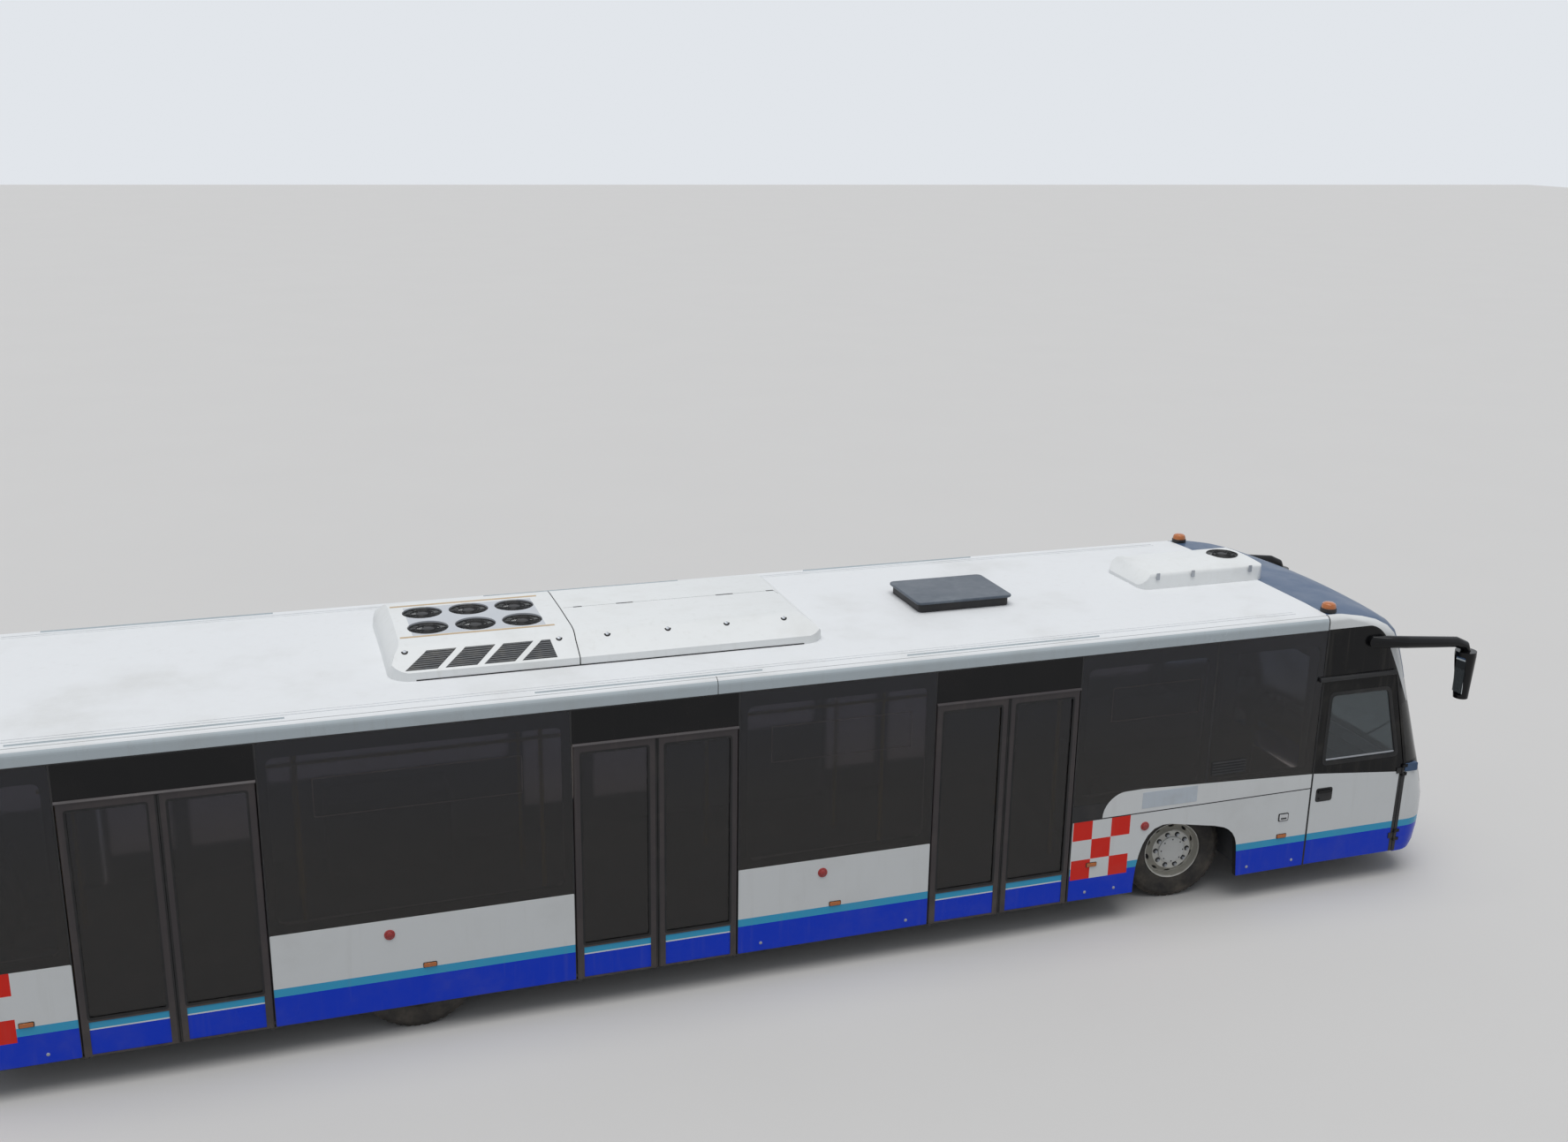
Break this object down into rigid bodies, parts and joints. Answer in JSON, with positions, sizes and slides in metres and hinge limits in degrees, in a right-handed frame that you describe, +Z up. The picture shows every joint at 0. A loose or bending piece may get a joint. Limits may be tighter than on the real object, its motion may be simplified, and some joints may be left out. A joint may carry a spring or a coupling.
{
  "type": "airport passenger bus",
  "caption": "Wide low-floor airport apron bus with double outward-opening doors on both sides, roof units and a driver's cab with long mirror arms.",
  "frame": {"origin": "middle of the bounding box at ground level", "axes": "+X towards the front, +Y to the bus's left side, +Z up"},
  "size_m": [14.297, 3.34, 3.235],
  "materials": {
    "chassis": "satin",
    "floor": "matt",
    "side_wall": "gloss",
    "roof": "semi gloss",
    "front_mask": "gloss",
    "rear_wall": "gloss",
    "windscreen": "clear",
    "windows": "tinted",
    "front_visor": "gloss",
    "ac_unit": "matt",
    "ac_fan_guards": "matt",
    "roof_hatch": "semi gloss",
    "lamps": "gloss",
    "mirrors": "matt",
    "mirror_glasses": "polished",
    "cab_door": "gloss",
    "dashboard": "matt",
    "seats": "woven",
    "cab_partition": "matt",
    "handrails": "gloss",
    "engine": "matt",
    "engine_cover": "matt",
    "axle": "matt",
    "wheel": "satin",
    "tyre": "matt",
    "door_leaf": "satin"
  },
  "bodies": {
    "body": {"chassis": "chassis", "floor": "floor", "side_wall_right": "side_wall", "side_wall_left": "side_wall", "roof": "roof", "front_mask": "front_mask", "rear_wall": "rear_wall", "windscreen": "windscreen", "windows": "windows", "front_visor": "front_visor", "ac_unit": "ac_unit", "ac_fan_guards": "ac_fan_guards", "lamps": "lamps", "mirrors": "mirrors", "mirror_glasses": "mirror_glasses", "dashboard": "dashboard", "seats": "seats", "cab_partition": "cab_partition", "handrails": "handrails", "engine": "engine", "engine_cover": "engine_cover", "front_axle": "axle", "rear_axle": "axle"},
    "roof_hatch": {"roof_hatch": "roof_hatch"},
    "tie_rod": {"tie_rod": "axle"},
    "cab_door_right": {"cab_door_right": "cab_door"},
    "knuckle_right": {"knuckle_right": "axle"},
    "wheel_front_right": {"wheel_front_right": "wheel", "tyre_front_right": "tyre"},
    "wheel_rear_right": {"wheel_rear_right": "wheel", "tyre_rear_right": "tyre"},
    "cab_door_left": {"cab_door_left": "cab_door"},
    "knuckle_left": {"knuckle_left": "axle"},
    "wheel_front_left": {"wheel_front_left": "wheel", "tyre_front_left": "tyre"},
    "wheel_rear_left": {"wheel_rear_left": "wheel", "tyre_rear_left": "tyre"},
    "door_1_right_front_leaf": {"door_1_right_front_leaf": "door_leaf"},
    "door_1_right_rear_leaf": {"door_1_right_rear_leaf": "door_leaf"},
    "door_1_left_front_leaf": {"door_1_left_front_leaf": "door_leaf"},
    "door_1_left_rear_leaf": {"door_1_left_rear_leaf": "door_leaf"},
    "door_2_right_front_leaf": {"door_2_right_front_leaf": "door_leaf"},
    "door_2_right_rear_leaf": {"door_2_right_rear_leaf": "door_leaf"},
    "door_2_left_front_leaf": {"door_2_left_front_leaf": "door_leaf"},
    "door_2_left_rear_leaf": {"door_2_left_rear_leaf": "door_leaf"},
    "door_3_right_front_leaf": {"door_3_right_front_leaf": "door_leaf"},
    "door_3_right_rear_leaf": {"door_3_right_rear_leaf": "door_leaf"},
    "door_3_left_front_leaf": {"door_3_left_front_leaf": "door_leaf"},
    "door_3_left_rear_leaf": {"door_3_left_rear_leaf": "door_leaf"}
  },
  "joints": [
    {"name": "steer_left", "type": "hinge", "parent": "body", "child": "knuckle_left", "pos_m": [4.0595, 0.85, 0.515], "axis": [0, 0, 1], "range_deg": [-23, 33]},
    {"name": "steer_right", "type": "hinge", "parent": "body", "child": "knuckle_right", "pos_m": [4.0595, -0.85, 0.515], "axis": [0, 0, 1], "range_deg": [-23, 33]},
    {"name": "tie_rod_pivot", "type": "hinge", "parent": "knuckle_left", "child": "tie_rod", "pos_m": [3.8503, 0.8683, 0.397], "axis": [0, 0, 1], "range_deg": [-33, 23]},
    {"name": "wheel_spin_front_left", "type": "hinge", "parent": "knuckle_left", "child": "wheel_front_left", "pos_m": [4.07998, 1.08411, 0.515], "axis": [0.0872, 0.9962, 0], "continuous": true},
    {"name": "wheel_spin_rear_left", "type": "hinge", "parent": "body", "child": "wheel_rear_left", "pos_m": [-3.4665, 1.245, 0.515], "axis": [0, 1, 0], "continuous": true},
    {"name": "cab_door_left_hinge", "type": "hinge", "parent": "body", "child": "cab_door_left", "pos_m": [6.4995, 1.511, 1], "axis": [0, 0, -1], "range_deg": [0, 75]},
    {"name": "wheel_spin_front_right", "type": "hinge", "parent": "knuckle_right", "child": "wheel_front_right", "pos_m": [4.03902, -1.08411, 0.515], "axis": [0.0872, 0.9962, 0], "continuous": true},
    {"name": "wheel_spin_rear_right", "type": "hinge", "parent": "body", "child": "wheel_rear_right", "pos_m": [-3.4665, -1.245, 0.515], "axis": [0, 1, 0], "continuous": true},
    {"name": "cab_door_right_hinge", "type": "hinge", "parent": "body", "child": "cab_door_right", "pos_m": [6.4995, -1.511, 1], "axis": [0, 0, 1], "range_deg": [0, 75]},
    {"name": "roof_hatch_hinge", "type": "hinge", "parent": "body", "child": "roof_hatch", "pos_m": [2.471, 0, 2.9953], "axis": [0, 1, 0], "range_deg": [0, 20]},
    {"name": "door_1_right_rear_swing", "type": "hinge", "parent": "body", "child": "door_1_right_rear_leaf", "pos_m": [1.2365, -1.492, 1.4], "axis": [0, 0, -1], "range_deg": [0, 95]},
    {"name": "door_1_right_front_swing", "type": "hinge", "parent": "body", "child": "door_1_right_front_leaf", "pos_m": [2.6505, -1.492, 1.4], "axis": [0, 0, 1], "range_deg": [0, 95]},
    {"name": "door_1_left_rear_swing", "type": "hinge", "parent": "body", "child": "door_1_left_rear_leaf", "pos_m": [1.2365, 1.492, 1.4], "axis": [0, 0, 1], "range_deg": [0, 95]},
    {"name": "door_1_left_front_swing", "type": "hinge", "parent": "body", "child": "door_1_left_front_leaf", "pos_m": [2.6505, 1.492, 1.4], "axis": [0, 0, -1], "range_deg": [0, 95]},
    {"name": "door_2_right_rear_swing", "type": "hinge", "parent": "body", "child": "door_2_right_rear_leaf", "pos_m": [-2.1035, -1.492, 1.4], "axis": [0, 0, -1], "range_deg": [0, 95]},
    {"name": "door_2_right_front_swing", "type": "hinge", "parent": "body", "child": "door_2_right_front_leaf", "pos_m": [-0.6895, -1.492, 1.4], "axis": [0, 0, 1], "range_deg": [0, 95]},
    {"name": "door_2_left_rear_swing", "type": "hinge", "parent": "body", "child": "door_2_left_rear_leaf", "pos_m": [-2.1035, 1.492, 1.4], "axis": [0, 0, 1], "range_deg": [0, 95]},
    {"name": "door_2_left_front_swing", "type": "hinge", "parent": "body", "child": "door_2_left_front_leaf", "pos_m": [-0.6895, 1.492, 1.4], "axis": [0, 0, -1], "range_deg": [0, 95]},
    {"name": "door_3_right_rear_swing", "type": "hinge", "parent": "body", "child": "door_3_right_rear_leaf", "pos_m": [-6.0935, -1.492, 1.4], "axis": [0, 0, -1], "range_deg": [0, 95]},
    {"name": "door_3_right_front_swing", "type": "hinge", "parent": "body", "child": "door_3_right_front_leaf", "pos_m": [-4.6795, -1.492, 1.4], "axis": [0, 0, 1], "range_deg": [0, 95]},
    {"name": "door_3_left_rear_swing", "type": "hinge", "parent": "body", "child": "door_3_left_rear_leaf", "pos_m": [-6.0935, 1.492, 1.4], "axis": [0, 0, 1], "range_deg": [0, 95]},
    {"name": "door_3_left_front_swing", "type": "hinge", "parent": "body", "child": "door_3_left_front_leaf", "pos_m": [-4.6795, 1.492, 1.4], "axis": [0, 0, -1], "range_deg": [0, 95]}
  ],
  "couplings": [
    {"joint": "steer_right", "follows": "steer_left", "ratio": 1},
    {"joint": "tie_rod_pivot", "follows": "steer_left", "ratio": -1},
    {"joint": "door_1_right_front_swing", "follows": "door_1_right_rear_swing", "ratio": 1},
    {"joint": "door_1_left_front_swing", "follows": "door_1_left_rear_swing", "ratio": 1},
    {"joint": "door_2_right_front_swing", "follows": "door_2_right_rear_swing", "ratio": 1},
    {"joint": "door_2_left_front_swing", "follows": "door_2_left_rear_swing", "ratio": 1},
    {"joint": "door_3_right_front_swing", "follows": "door_3_right_rear_swing", "ratio": 1},
    {"joint": "door_3_left_front_swing", "follows": "door_3_left_rear_swing", "ratio": 1}
  ]
}
